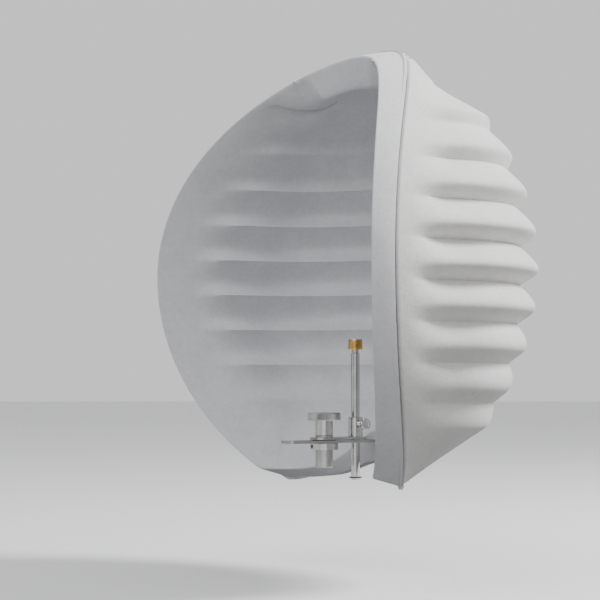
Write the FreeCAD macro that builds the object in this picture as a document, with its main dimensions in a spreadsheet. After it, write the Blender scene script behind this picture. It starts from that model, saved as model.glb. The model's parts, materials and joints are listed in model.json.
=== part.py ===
import FreeCAD, Part
import math
import os
import Sketcher
from FreeCAD import Placement, Rotation, Vector

# Microphone isolation shield: a double-walled dome of moulded felt on a slotted bar, with the
# plated stand adapter, clamp knob and sliding microphone post that carry it.
# Millimetres. +Z is up, the open side faces -Y. The origin is the mouth of the stand socket,
# on the stand's axis.

doc = FreeCAD.newDocument("isolation_shield")

# ---------------------------------------------------------------- driving sizes

SIZES = [
    # felt dome
    ("dome_half_width", 240, "centre to the side of the outer shell"),
    ("dome_half_height", 238, "centre to the top of the outer shell"),
    ("dome_depth", 172, "centre plane to the rearmost rib crest"),
    ("centre_height", 210, "dome centre above the stand socket"),
    ("centre_setback", 35, "dome centre plane behind the stand axis"),
    ("lower_fullness", 1.09, "lower half of the front view over the upper half"),
    ("rim_reach", 122, "centre plane to the foremost point of the rim"),
    ("rim_sweep_up", 285, "side-view radius of the rim above the centre"),
    ("rim_sweep_down", 358, "side-view radius of the rim below the centre"),
    ("rim_lip", 9, "the rim's inner edge inside the outer shell's surface"),
    ("band_width", 24, "turned-back band at mid height"),
    ("band_growth", 6, "extra width of the band towards top and bottom"),
    ("felt", 6, "felt thickness"),
    ("wall_depth", 30, "outer face to microphone-side face"),
    ("wall_blend", 90, "distance behind the rim where the full wall depth is reached"),
    ("rib_pitch", 40, "height from crest to crest"),
    ("rib_depth", 22, "crest to valley at the dome's middle"),
    ("rib_falloff", 0.1, "loss of rib depth for each mm away from the middle"),
    ("rib_depth_min", 8, "crest to valley of the outermost ribs"),
    ("rib_start", 8, "smooth flank behind the seam"),
    ("rib_fade", 62, "length over which the ribs grow to full depth"),
    ("crest_drop", 5, "each crest below the middle of its rib"),
    ("shoulder_flat", 14, "smooth top inside the dome's round outline"),
    # cut-away bottom and its arch over the stand
    ("chin_depth", 216, "rim's lower corners below the centre"),
    ("chin_outer_depth", 226, "outer shell's lower corners below the centre"),
    ("arch_height", 45, "rise of the rim over the stand"),
    ("arch_outer_height", 20, "rise of the outer lower edge over the stand"),
    ("arch_width", 45, "half width of the arch where it has mostly closed"),
    ("arch_setback", 30, "arch's top behind the centre plane"),
    ("arch_lean", 1, "lower edge of the flange behind its upper edge"),
    # stand adapter
    ("tube_radius", 9.25, "stand tube"),
    ("tube_drop", 19, "stand tube below its collar"),
    ("socket_radius", 7.5, "minor radius of the 5/8 inch stand thread"),
    ("socket_depth", 15, "threaded depth of the stand socket"),
    ("collar_radius", 15, "seat collar"),
    ("collar_height", 7, "seat collar"),
    ("stud_radius", 5, "clamp stud, M10"),
    ("stud_seat", 9, "length of stud screwed into the tube"),
    ("grub_radius", 2, "seat grub screw, M4"),
    ("running_gap", 0.05, "radial clearance of a turning or sliding fit"),
    ("free_gap", 0.35, "radial clearance of a clearance hole"),
    # bar
    ("bar_width", 24, "main bar"),
    ("bar_thickness", 2.8, "main bar"),
    ("bar_front", 47, "main bar's front end ahead of the stand axis"),
    ("bar_inside", 26, "length of bar inside the hollow wall"),
    ("slot_width", 10.8, "slot in the main bar"),
    ("slot_front", 37, "slot's front end ahead of the stand axis"),
    ("slot_rear", 58, "slot's rear end behind the stand axis"),
    # arm
    ("post_offset", 39, "post axis behind the stand axis"),
    ("arm_thickness", 2.5, "arm plate"),
    ("arm_end_radius", 12, "rounded ends of the arm plate"),
    ("friction_thickness", 0.8, "friction washer"),
    ("friction_radius", 13, "friction washer"),
    ("post_radius", 4.75, "post rod"),
    ("post_collar_radius", 7.8, "post collar"),
    ("post_collar_height", 21, "post collar above the arm plate"),
    ("arm_front", 16, "arm plate's front end ahead of the stand axis"),
    ("spigot_radius", 6.4, "post collar's spigot in the arm plate"),
    ("post_top", 122, "rod's shoulder above the origin"),
    ("post_bottom", 14, "rod's lower end below the origin"),
    ("neck_radius", 3.9, "neck under the rod's thread"),
    ("neck_height", 3.5, "neck under the rod's thread"),
    ("post_thread_radius", 4.7, "3/8 inch thread at the rod's top"),
    ("adapter_radius", 7.94, "5/8 inch outside thread of the adapter"),
    ("adapter_height", 11, "thread adapter"),
    ("ring_radius", 6.8, "retaining ring"),
    ("ring_thickness", 1.2, "retaining ring"),
    ("thumb_height", 14, "thumbscrew axis above the arm plate"),
    ("thumb_radius", 2.5, "thumbscrew shank, M5"),
    ("thumb_head_radius", 6, "thumbscrew head"),
    ("thumb_head_length", 4, "thumbscrew head"),
    ("thumb_reach", 18, "post axis to the underside of the thumbscrew head"),
    ("tip_length", 1.8, "pressure pad"),
    # clamp knob
    ("washer_height", 2, "clamp washer"),
    ("barrel_radius", 9.4, "clamp barrel"),
    ("barrel_height", 16, "clamp barrel below the disc"),
    ("disc_bore_radius", 7, "barrel's spigot in the disc"),
    ("spigot_height", 6, "barrel's spigot in the disc"),
    ("disc_radius", 17.5, "clamp disc"),
    ("disc_height", 8, "clamp disc"),
    # mount block
    ("block_width", 25, "mount block"),
    ("block_length", 19.5, "mount block"),
    ("bar_screw_radius", 2, "bar screws, M4"),
    ("bar_screw_head_radius", 3.6, "countersunk heads of the bar screws"),
    ("bar_screw_length", 8.5, "bar screws, head included"),
    ("bar_screw_inset", 3.5, "first bar screw behind the block's front"),
    ("bar_screw_spacing", 8.5, "between the bar screws"),
    ("shell_screw_radius", 1.5, "shell screws, M3"),
    ("shell_screw_head_radius", 2.9, "shell screw heads"),
    ("shell_screw_head_height", 1.8, "shell screw heads"),
    ("shell_screw_length", 12, "shell screws under the head"),
    ("shell_screw_spacing", 14, "between the shell screws"),
    ("shell_screw_setback", 10, "shell screws behind the block's front"),
    ("shell_washer_radius", 6, "shell washers"),
    ("shell_washer_thickness", 1, "shell washers"),
    ("insert_radius", 2.6, "threaded inserts"),
    ("insert_length", 5, "threaded inserts"),
    ("edge_break", 0.8, "bevels on the rods and knobs"),
    ("small_break", 0.5, "bevels on the smaller turned pieces"),
    ("bar_corner_radius", 3, "rounded front corners of the main bar"),
    ("pad_gap", 0.02, "pressure pad off the rod when loose"),
    ("pad_relief", 0.3, "pressure pad inside its thread"),
    ("stud_relief", 1, "clamp stud's end under the knob's disc"),
    ("block_gap", 1.5, "mount block behind the felt's folded edge"),
    ("insert_setback", 0.5, "inserts inside the mount block's face"),
    ("groove_height", 2, "retaining ring's groove above the rod's end"),
    ("groove_play", 0.1, "groove wider than its ring"),
    ("notch_width", 1.8, "screwdriver notch in the thread adapter"),
    ("notch_depth", 1.4, "screwdriver notch in the thread adapter"),
    ("tool_overrun", 1, "cutting shapes past a piece's surface"),
]

sheet = doc.addObject("Spreadsheet::Sheet", "Sizes")
for row, (alias, value, meaning) in enumerate(SIZES, start=1):
    sheet.set("A%d" % row, alias)
    sheet.set("B%d" % row, str(value))
    sheet.set("C%d" % row, meaning)
    sheet.setAlias("B%d" % row, alias)
doc.recompute()


def size(alias):
    """One driving size, read from the sheet."""
    return float(sheet.get(alias))


def cells(text):
    """An expression in which each driving size's name becomes a reference to its cell."""
    return " ".join("Sizes." + word if word in NAMES else word for word in text.split())


NAMES = {alias for alias, _value, _meaning in SIZES}

# heights of the stacked plates, as expressions
BAR_UNDER = "tube_drop + collar_height"
BAR_TOP = BAR_UNDER + " + bar_thickness"
ARM_UNDER = BAR_TOP + " + friction_thickness"
ARM_TOP = ARM_UNDER + " + arm_thickness"
BARREL_UNDER = ARM_TOP + " + washer_height"
DISC_UNDER = BARREL_UNDER + " + barrel_height"
THUMB_AXIS = ARM_TOP + " + thumb_height"
FLANGE_Y = "centre_setback + arch_setback"
BLOCK_FRONT = FLANGE_Y + " + felt + block_gap"


def number(text):
    """The value of an expression: a sum of products and quotients of sizes and numbers."""
    total, term, action = 0.0, 0.0, "+"
    for word in text.split():
        if word in "+-*/":
            action = word
            continue
        value = size(word) if word in NAMES else float(word)
        if action == "*":
            term *= value
        elif action == "/":
            term /= value
        else:
            total += term
            term = value if action == "+" else -value
    return total + term


# ---------------------------------------------------------------- small helpers


def drive(item, **expressions):
    """Bind properties of an object to expressions in the sheet."""
    for name, text in expressions.items():
        item.setExpression(name.replace("__", "."), cells(text))
    return item


def place(item, x="0", y="0", z="0"):
    """Bind an object's position."""
    for axis, text in (("x", x), ("y", y), ("z", z)):
        item.setExpression("Placement.Base." + axis, cells(text))
    return item


def primitive(kind, name, x="0", y="0", z="0", turn=None, **expressions):
    """A Part primitive with bound sizes and position; turn is a fixed rotation."""
    item = doc.addObject("Part::" + kind, name)
    if turn is not None:
        item.Placement = Placement(Vector(), turn)
    drive(item, **expressions)
    return place(item, x, y, z)


def combine(kind, name, base, tool):
    """Part boolean of two objects."""
    item = doc.addObject("Part::" + kind, name)
    item.Base = base
    item.Tool = tool
    return item


def fuse(name, *items):
    """Union of objects. Solids that don't touch stay separate solids."""
    item = doc.addObject("Part::MultiFuse", name)
    item.Shapes = list(items)
    return item


def new_body(name, x="0", y="0", z="0", turn=None):
    body = doc.addObject("PartDesign::Body", name)
    if turn is not None:
        body.Placement = Placement(Vector(), turn)
    return place(body, x, y, z)


def sketch_on(body, role, name):
    """An empty sketch on one of the body's own origin planes."""
    plane = [item for item in body.Origin.OriginFeatures if item.Role == role][0]
    sketch = body.newObject("Sketcher::SketchObject", name)
    sketch.AttachmentSupport = [(plane, "")]
    sketch.MapMode = "FlatFace"
    return sketch


def bind(sketch, constraint, name, text):
    """Add a named constraint and bind it to an expression."""
    index = sketch.addConstraint(constraint)
    sketch.renameConstraint(index, name)
    sketch.setExpression("Constraints." + name, cells(text))


def circle(sketch, radius, name, y="0"):
    """A circle centred on the sketch's vertical axis, at height y."""
    start = Vector(0, number(y), 0)
    index = sketch.addGeometry(Part.Circle(start, Vector(0, 0, 1), number(radius)), False)
    sketch.addConstraint(Sketcher.Constraint("PointOnObject", index, 3, -2))
    if y == "0":
        sketch.addConstraint(Sketcher.Constraint("PointOnObject", index, 3, -1))
    else:
        shift = Sketcher.Constraint("DistanceY", -1, 1, index, 3, number(y))
        bind(sketch, shift, name + "_y", y)
    bind(sketch, Sketcher.Constraint("Radius", index, number(radius)), name + "_radius", radius)


def polygon(sketch, corners, name):
    """A closed outline. Each corner is a pair of expressions, measured from the origin."""
    points = [Vector(number(x), number(y), 0) for x, y in corners]
    count = len(points)
    for index in range(count):
        sketch.addGeometry(Part.LineSegment(points[index], points[(index + 1) % count]), False)
    for index in range(count):
        after = (index + 1) % count
        sketch.addConstraint(Sketcher.Constraint("Coincident", index, 2, after, 1))
    for index, (x, y) in enumerate(corners):
        for letter, kind, text in (("x", "DistanceX", x), ("y", "DistanceY", y)):
            if number(text) == 0:
                line = -2 if letter == "x" else -1
                sketch.addConstraint(Sketcher.Constraint("PointOnObject", index, 1, line))
            else:
                held = Sketcher.Constraint(kind, -1, 1, index, 1, number(text))
                bind(sketch, held, "%s%d_%s" % (name, index, letter), text)


def long_hole(sketch, half_width, near, far, name):
    """A slot along the sketch's vertical axis with full-round ends, from near to far."""
    r, low, high = number(half_width), number(near), number(far)
    bottom, top = Vector(0, low + r, 0), Vector(0, high - r, 0)
    up = Vector(0, 0, 1)
    sketch.addGeometry(Part.ArcOfCircle(Part.Circle(bottom, up, r), math.pi, 2 * math.pi), False)
    sketch.addGeometry(Part.ArcOfCircle(Part.Circle(top, up, r), 0, math.pi), False)
    sketch.addGeometry(Part.LineSegment(bottom + Vector(r, 0, 0), top + Vector(r, 0, 0)), False)
    sketch.addGeometry(Part.LineSegment(top - Vector(r, 0, 0), bottom - Vector(r, 0, 0)), False)
    for first, end, second, start in ((0, 2, 2, 1), (2, 2, 1, 1), (1, 2, 3, 1), (3, 2, 0, 1)):
        sketch.addConstraint(Sketcher.Constraint("Tangent", first, end, second, start))
    for index in (0, 1):
        sketch.addConstraint(Sketcher.Constraint("PointOnObject", index, 3, -2))
    sketch.addConstraint(Sketcher.Constraint("Vertical", 2))
    bind(sketch, Sketcher.Constraint("Radius", 0, r), name + "_radius", half_width)
    low_text, high_text = near + " + " + half_width, far + " - " + half_width
    bottom_held = Sketcher.Constraint("DistanceY", -1, 1, 0, 3, low + r)
    bind(sketch, bottom_held, name + "_near", low_text)
    top_held = Sketcher.Constraint("DistanceY", -1, 1, 1, 3, high - r)
    bind(sketch, top_held, name + "_far", high_text)


def pad(body, sketch, name, length, midplane=False):
    feature = body.newObject("PartDesign::Pad", name)
    feature.Profile = sketch
    feature.Midplane = midplane
    feature.setExpression("Length", cells(length))
    return feature


def pocket(body, sketch, name):
    """Cut a sketch out of the body, upwards from its plane and through everything."""
    feature = body.newObject("PartDesign::Pocket", name)
    feature.Profile = sketch
    feature.Reversed = True
    feature.Type = "ThroughAll"
    return feature


def revolve(body, sketch, name):
    """Turn a sketch on the XZ plane about the body's own Z axis."""
    feature = body.newObject("PartDesign::Revolution", name)
    feature.Profile = sketch
    feature.ReferenceAxis = (sketch, ["V_Axis"])
    feature.Angle = 360
    return feature


def chamfer(body, base, name, amount, wanted):
    """Break the edges of a feature for which wanted(edge) is true."""
    doc.recompute()
    edges = ["Edge%d" % (i + 1) for i, e in enumerate(base.Shape.Edges) if wanted(e)]
    feature = body.newObject("PartDesign::Chamfer", name)
    feature.Base = (base, edges)
    feature.setExpression("Size", cells(amount))
    return feature


def turned(name, outline, x="0", y="0", z="0", turn=None):
    """A lathe-turned piece: the outline gives pairs of radius and height."""
    body = new_body(name, x, y, z, turn)
    sketch = sketch_on(body, "XZ_Plane", name + "_outline")
    polygon(sketch, outline, "p")
    revolve(body, sketch, name + "_turned")
    return body


# ---------------------------------------------------------------- felt shells
#
# Each shell face is a fan of rows: every row is one smooth curve from the left cheek round the
# back to the right cheek, and straight rulings join it to the next row. The lowest rows end on
# the arch over the stand, the highest on the rim's top.

WALL_STEPS = 5        # points along a straight cheek
ARC_STEPS = 24        # points round the back
TOP_ANGLE = 20.0      # degrees: the stretch of rim that the highest row follows, each side
TOP_SHARES = (0.25, 0.5, 0.75, 1.0)
BOTTOM_SHARES = (1.0, 0.67, 0.33)
DEPTH_POWER = 1.85    # the side view is slightly flatter than an ellipse
LOWER_DEPTH = 1.0     # reach of the lower half of the side view over the upper half
CHEEK_SPREAD = 0.12   # share of a row's spread that its straight cheeks take
ARCH_POWER = 1.6      # how the arch draws back from its corners to its middle
CORNER_POWER = 6      # how close to the edge a blended row is held on the edge
SEARCH_STEPS = 40     # halvings when a point is pushed out to the dome
SMOOTH_TOP = 0.7      # share of the half height that carries ribs
SHOULDER_SHARE = 0.85 # level rows go on for this share of a pitch over the highest crest


def smooth(value):
    """0 below 0, 1 above 1, and a soft step between."""
    value = min(max(value, 0.0), 1.0)
    return value * value * (3 - 2 * value)


def half_width(z, inset):
    """Half width of the dome at height z from its centre, for a face inset into the wall."""
    reach = size("dome_half_height") - inset
    if z < 0:
        reach = size("dome_half_height") * size("lower_fullness") - inset
    return (size("dome_half_width") - inset) * math.sqrt(max(0.0, 1 - (z / reach) ** 2))


def half_depth(z, inset):
    """Depth of the dome behind its centre plane at height z, for an inset face."""
    reach = size("dome_half_height") * (LOWER_DEPTH if z < 0 else 1.0) - inset
    share = max(0.0, 1 - (abs(z) / reach) ** DEPTH_POWER)
    return (size("dome_depth") - inset) * share ** (1 / DEPTH_POWER)


def rim_y(z):
    """Front view height to the rim's place along Y, from the centre plane."""
    radius = size("rim_sweep_up") if z > 0 else size("rim_sweep_down")
    return radius - math.sqrt(radius ** 2 - z ** 2) - size("rim_reach")


def seam_y(z):
    """Where the turned-back band meets the outer shell."""
    share = z / size("dome_half_height")
    return rim_y(z) + size("band_width") + size("band_growth") * share * share


def lowest_crest():
    return -rib_count() * size("rib_pitch") - size("crest_drop")


def highest_crest():
    return rib_count() * size("rib_pitch") - size("crest_drop")


def rib_wave(z):
    """0 on a crest and 1 in a valley."""
    pitch = size("rib_pitch")
    crest = pitch / 2 - size("crest_drop")
    above_valley = (z + pitch / 2) % pitch
    if above_valley < crest:
        return 1 - above_valley / crest
    return (above_valley - crest) / (pitch - crest)


def rib_inset(z, distance):
    """How far a face lies inside the round outline, at a distance behind the seam."""
    grown = smooth((distance - size("rib_start")) / size("rib_fade"))
    if z <= lowest_crest():
        return 0.0
    if z < highest_crest():
        depth = max(size("rib_depth") - size("rib_falloff") * abs(z), size("rib_depth_min"))
        return depth * rib_wave(z) * grown
    share = (z - highest_crest()) / (size("dome_half_height") - highest_crest())
    share = min(share, 1.0)
    return size("shoulder_flat") * 4 * share * (1 - share) * grown


def arch_bump(x, corner_x):
    """The arch's bell-shaped rise: 1 in the middle, 0 at the corner."""
    tail = math.exp(-(corner_x / size("arch_width")) ** 2)
    return (math.exp(-(x / size("arch_width")) ** 2) - tail) / (1 - tail)


def rib_count():
    """Whole ribs between the centre and the smooth top."""
    return int(SMOOTH_TOP * size("dome_half_height") / size("rib_pitch"))


class Face:
    """One face of a felt shell: where its edge lies and how deep in the wall it is."""

    def __init__(self, at_seam, edge_inset, deep_inset):
        self.at_seam = at_seam
        self.edge_inset = edge_inset
        self.deep_inset = deep_inset

    def edge_y(self, z):
        return seam_y(z) if self.at_seam else rim_y(z)

    def inset(self, distance):
        """Depth in the wall at a distance behind the edge, without ribs."""
        share = min(distance / size("wall_blend"), 1.0)
        return self.edge_inset + (self.deep_inset - self.edge_inset) * share * (2 - share)

    def corner_z(self):
        return -size("chin_outer_depth") if self.at_seam else -size("chin_depth")

    def edge_point(self, z):
        """Point of the cheek's edge, on the right side."""
        return Vector(half_width(z, self.edge_inset), self.edge_y(z), z)

    def distance_shift(self):
        """Distance from the seam to this face's own edge."""
        return 0.0 if self.at_seam else -size("band_width")

    def row(self, z):
        """Points of a level row, with the distance of each from the edge."""
        start = self.edge_y(z)
        points, distances = [], []
        for step in range(WALL_STEPS):
            y = start * (1 - step / WALL_STEPS)
            if start > 0:
                y = start
            distance = y - start
            depth = self.inset(distance) + rib_inset(z, distance + self.distance_shift())
            points.append(Vector(half_width(z, depth), y, z))
            distances.append(distance)
        for step in range(ARC_STEPS // 2 + 1):
            turn = math.pi * step / ARC_STEPS
            length = half_depth(z, 0) * turn + max(-start, 0)
            depth = self.inset(length) + rib_inset(z, length + self.distance_shift())
            across = half_width(z, depth) * math.cos(turn)
            points.append(Vector(across, half_depth(z, depth) * math.sin(turn), z))
            distances.append(length)
        mirrored = [Vector(-p.x, p.y, p.z) for p in reversed(points[:-1])]
        return points + mirrored, distances + distances[-2::-1]

    def across(self):
        """Even spread from 1 on the right edge to -1 on the left, matched to a level row."""
        spread = [1 - CHEEK_SPREAD * step / WALL_STEPS for step in range(WALL_STEPS)]
        for step in range(ARC_STEPS + 1):
            spread.append((1 - CHEEK_SPREAD) * math.cos(math.pi * step / ARC_STEPS))
        return spread + [-value for value in reversed(spread[:WALL_STEPS])]

    def top_edge(self):
        """The highest stretch of the edge."""
        points = []
        for share in self.across():
            angle = math.radians(TOP_ANGLE * share)
            z = (size("dome_half_height") - self.edge_inset) * math.cos(angle)
            x = (size("dome_half_width") - self.edge_inset) * math.sin(angle)
            points.append(Vector(x, self.edge_y(z), z))
        return points

    def arch(self, fold_back=0.0, fold_up=0.0):
        """The edge's lowest stretch, arched over the stand."""
        corner = self.edge_point(self.corner_z())
        rise = size("arch_outer_height") if self.at_seam else size("arch_height")
        setback = size("arch_setback") + (size("arch_lean") if self.at_seam else 0.0)
        points = []
        for share in self.across():
            x = corner.x * share
            bump = arch_bump(x, corner.x)
            middle = 1 - abs(share) ** ARCH_POWER
            away_from_corner = 1 - share ** 4
            y = corner.y + (setback - corner.y) * middle + fold_back * away_from_corner
            z = corner.z + (rise + fold_up) * bump
            if fold_back:
                z += size("felt") * away_from_corner
            points.append(Vector(x, y, z))
        return points

    def blended(self, level, far, share, edge_z, on_dome, distances):
        """A row between a level row and the edge's top or bottom."""
        mixed = [a + (b - a) * share for a, b in zip(level, far)]
        if on_dome:
            mixed = [self.on_dome(p, d * (1 - share)) for p, d in zip(mixed, distances)]
        wanted = self.edge_point(edge_z)
        spread = self.across()
        fixed = []
        for point, across in zip(mixed, spread):
            side = mixed[0] if across > 0 else mixed[-1]
            target = Vector(wanted.x if across > 0 else -wanted.x, wanted.y, wanted.z)
            fixed.append(point + (target - side) * abs(across) ** CORNER_POWER)
        return fixed

    def on_dome(self, point, distance):
        """Push a point out to the dome, at this face's depth there."""
        low, high = 0.2, 3.0
        for _step in range(SEARCH_STEPS):
            scale = (low + high) / 2
            x, z = point.x * scale, point.z * scale
            y = point.y * scale if point.y > 0 else point.y
            depth = self.inset(distance) + rib_inset(z, distance)
            width, behind = half_width(z, depth), half_depth(z, depth)
            outside = width <= 0 or behind <= 0 or abs(z) > size("dome_half_height") - depth
            if not outside:
                back = (y / behind) ** 2 if y > 0 else 0.0
                outside = (x / width) ** 2 + back > 1
            if outside:
                high = scale
            else:
                low = scale
        return Vector(x, y, z)

    def rows(self, folded=False):
        """All rows from the arch to the rim's top; folded adds the inside of the flange."""
        low = lowest_crest()
        lowest, lowest_distances = self.row(low)
        highest_z = highest_crest() + size("rib_pitch") * SHOULDER_SHARE
        highest, distances = self.row(highest_z)
        felt = size("felt")
        rows = []
        if folded:
            rows.append(self.arch(felt))
            bottom = self.arch(felt, size("arch_height") - size("arch_outer_height"))
            self.drop_by_felt(bottom, felt)
        elif self.at_seam and self.edge_inset:
            bottom = self.arch(felt)
        else:
            bottom = self.arch()
        for share in BOTTOM_SHARES:
            edge_z = low + (self.corner_z() - low) * share
            if share == 1.0:
                rows.append(bottom)
            else:
                rows.append(self.blended(lowest, bottom, share, edge_z, False, lowest_distances))
        for step in range(2 * rib_count()):
            rows.append(self.row(low + step * size("rib_pitch"))[0])
            valley = low + step * size("rib_pitch") + size("rib_pitch") / 2 + size("crest_drop")
            rows.append(self.row(valley)[0])
        rows.append(self.row(highest_crest())[0])
        rows.append(self.row((highest_crest() + highest_z) / 2)[0])
        rows.append(highest)
        top = self.top_edge()
        for share in TOP_SHARES:
            edge_z = highest_z + (top[0].z - highest_z) * share
            if share == 1.0:
                rows.append(top)
            else:
                rows.append(self.blended(highest, top, share, edge_z, True, distances))
        return rows

    def drop_by_felt(self, points, felt):
        """Keep the underside of the bowl's floor a felt's thickness under the rim's arch."""
        for index, share in enumerate(self.across()):
            bump = arch_bump(points[index].x, points[0].x)
            floor = -size("chin_depth") + size("arch_height") * bump - felt
            weight = 1 - share ** 4
            points[index].z += (floor - points[index].z) * weight


def curve_edge(points):
    curve = Part.BSplineCurve()
    last = len(points) - 1
    curve.interpolate(Points=points, Parameters=[k / last for k in range(last + 1)])
    return curve.toShape()


def face_patches(rows):
    """The ruled strips of one face."""
    edges = [curve_edge(row) for row in rows]
    return [Part.makeRuledSurface(a, b) for a, b in zip(edges[:-1], edges[1:])]


def rim_patches(first, second):
    """The strip that closes the gap between the edges of two faces."""
    patches = []
    for end in (0, -1):
        a = [row[end] for row in first]
        b = [row[end] for row in second]
        for low in range(len(a) - 1):
            line = Part.makeLine(a[low], a[low + 1])
            other = Part.makeLine(b[low], b[low + 1])
            patches.append(Part.makeRuledSurface(line, other))
    for row in (0, -1):
        patches.append(Part.makeRuledSurface(curve_edge(first[row]), curve_edge(second[row])))
    return patches


def closed_solid(patches):
    """One solid from faces that meet edge to edge, moved from the dome's centre to its place."""
    skin = Part.Shell(patches)
    skin.sewShape()
    solid = Part.Solid(skin)
    if solid.Volume < 0:
        solid = Part.Solid(skin.reversed())
    solid.translate(Vector(0, size("centre_setback"), size("centre_height")))
    return solid


def felt_faces():
    felt, wall = size("felt"), size("wall_depth")
    outside = Face(True, 0.0, 0.0).rows()
    outside_back = Face(True, felt, felt).rows()
    bowl_back = Face(True, felt, wall - felt).rows(folded=True)
    bowl = Face(False, size("rim_lip"), wall).rows()
    return outside, outside_back, bowl_back, bowl


def raw_shells():
    """Outer and inner shell before their holes are cut."""
    outside, outside_back, bowl_back, bowl = felt_faces()
    outer = face_patches(outside) + face_patches(outside_back)
    outer += rim_patches(outside, outside_back)
    inner = face_patches(bowl) + face_patches(bowl_back)
    inner += rim_patches(bowl, outside)
    seam_side = [bowl_back[0]] + bowl_back[2:]
    inner += rim_patches(outside, seam_side)
    return closed_solid(outer), closed_solid(inner)


def raw_feature(name, shape):
    item = doc.addObject("Part::Feature", name)
    item.Shape = shape
    return item


def cylinder_along(name, radius, length, start, direction):
    """A cylinder from a computed start point along a computed direction."""
    item = doc.addObject("Part::Cylinder", name)
    item.Placement = Placement(start, Rotation(Vector(0, 0, 1), direction))
    return drive(item, Radius=radius, Height=length)


def floor_line():
    """Middle of the outer shell's flat bottom: front point, rear point and inward normal."""
    rows = Face(True, 0.0, 0.0).rows()
    middle = len(rows[0]) // 2
    front, rear = rows[0][middle], rows[len(BOTTOM_SHARES)][middle]
    shift = Vector(0, size("centre_setback"), size("centre_height"))
    along = (rear - front).normalize()
    return front + shift, rear + shift, Vector(0, -along.z, along.y)


def floor_height(y):
    """Outside height of the flat bottom on the centre line, y behind the stand axis."""
    front, rear, _normal = floor_line()
    return front.z + (rear.z - front.z) * (y - front.y) / (rear.y - front.y)


def shell_screw_points():
    """Where the shell screws pass through the outer shell's outside face."""
    y = number(BLOCK_FRONT + " + shell_screw_setback")
    half = size("shell_screw_spacing") / 2
    return [Vector(side * half, y, floor_height(y)) for side in (-1, 1)]


def make_outer_shell(blank):
    """Outer shell with clearance holes and shallow seats for the two shell screws."""
    _front, _rear, inward = floor_line()
    cutters = []
    for index, point in enumerate(shell_screw_points()):
        outside = point - inward * size("felt")
        seat_length = "shell_washer_thickness + felt"
        cutters.append(cylinder_along("seat_cut_%d" % index, "shell_washer_radius + free_gap",
                                      seat_length, outside, inward))
        cutters.append(cylinder_along("screw_cut_%d" % index, "shell_screw_radius + free_gap",
                                      "felt + felt + felt", outside, inward))
    return combine("Cut", "outer_shell", blank, fuse("outer_shell_cuts", *cutters))


def make_inner_shell(blank):
    """Inner shell with the slot in its lower flange where the bar enters."""
    opening = primitive("Box", "flange_slot", x="0 - bar_width / 2 - free_gap",
                        y=FLANGE_Y + " - felt", z=BAR_UNDER + " - free_gap",
                        Length="bar_width + free_gap + free_gap",
                        Width="felt + felt + felt",
                        Height="bar_thickness + free_gap + free_gap")
    return combine("Cut", "inner_shell", blank, opening)


# ---------------------------------------------------------------- stand adapter


def make_stand_tube():
    web = BAR_UNDER + " - stud_seat"
    outline = [("0", "socket_depth"), ("socket_radius", "socket_depth"), ("socket_radius", "0"),
               ("tube_radius", "0"), ("tube_radius", BAR_UNDER), ("stud_radius", BAR_UNDER),
               ("stud_radius", web), ("0", web)]
    body = turned("stand_tube", outline)
    chamfer(body, body.Tip, "stand_tube_edge", "small_break", is_ring(size("tube_radius"), 0))
    return body


def is_ring(radius, height):
    """Test for the circular edge of a turned piece with a given radius and height."""
    def test(edge):
        curve = edge.Curve
        if not isinstance(curve, Part.Circle) or abs(curve.Radius - radius) > 0.01:
            return False
        return abs(curve.Center.z - height) < 0.01
    return test


def make_seat_collar():
    outline = [("tube_radius", "tube_drop"), ("collar_radius", "tube_drop"),
               ("collar_radius", BAR_UNDER), ("tube_radius", BAR_UNDER)]
    body = turned("seat_collar", outline)
    hole = sketch_on(body, "XZ_Plane", "grub_hole")
    circle(hole, "grub_radius", "grub", "tube_drop + collar_height / 2")
    pocket(body, hole, "grub_cut")
    doc.recompute()
    radius, top = size("collar_radius"), number(BAR_UNDER)
    chamfer(body, body.Tip, "seat_collar_edge", "small_break", is_ring(radius, top))
    return body


def make_grub_screw():
    axis_z = "tube_drop + collar_height / 2"
    outwards = Rotation(Vector(1, 0, 0), 90)
    shank = primitive("Cylinder", "grub_shank", y="0 - tube_radius", z=axis_z, turn=outwards,
                      Radius="grub_radius", Height="collar_radius - tube_radius")
    key = primitive("Prism", "grub_key", y="0 - collar_radius + 2", z=axis_z, turn=outwards,
                    Circumradius="grub_radius / 2", Height="4")
    return combine("Cut", "seat_grub_screw", shank, key)


def make_clamp_stud():
    low = BAR_UNDER + " - stud_seat"
    high = DISC_UNDER + " - stud_relief"
    bevel = "stud_radius - edge_break"
    outline = [("0", low), ("stud_radius", low), ("stud_radius", high + " - edge_break"),
               (bevel, high), ("0", high)]
    return turned("clamp_stud", outline)


# ---------------------------------------------------------------- arm


def washer(name, inner, outer, low, high, y="0"):
    return turned(name, [(inner, low), (outer, low), (outer, high), (inner, high)], y=y)


def make_arm_plate():
    body = new_body("arm_plate", z=ARM_UNDER)
    sketch = sketch_on(body, "XY_Plane", "arm_outline")
    long_hole(sketch, "arm_end_radius", "0 - arm_front", "post_offset + arm_end_radius", "arm")
    pad(body, sketch, "arm_pad", "arm_thickness")
    doc.recompute()
    holes = sketch_on(body, "XY_Plane", "arm_holes")
    circle(holes, "stud_radius + free_gap", "stud_hole")
    circle(holes, "spigot_radius", "spigot_hole", "post_offset")
    pocket(body, holes, "arm_cut")
    return body


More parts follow.
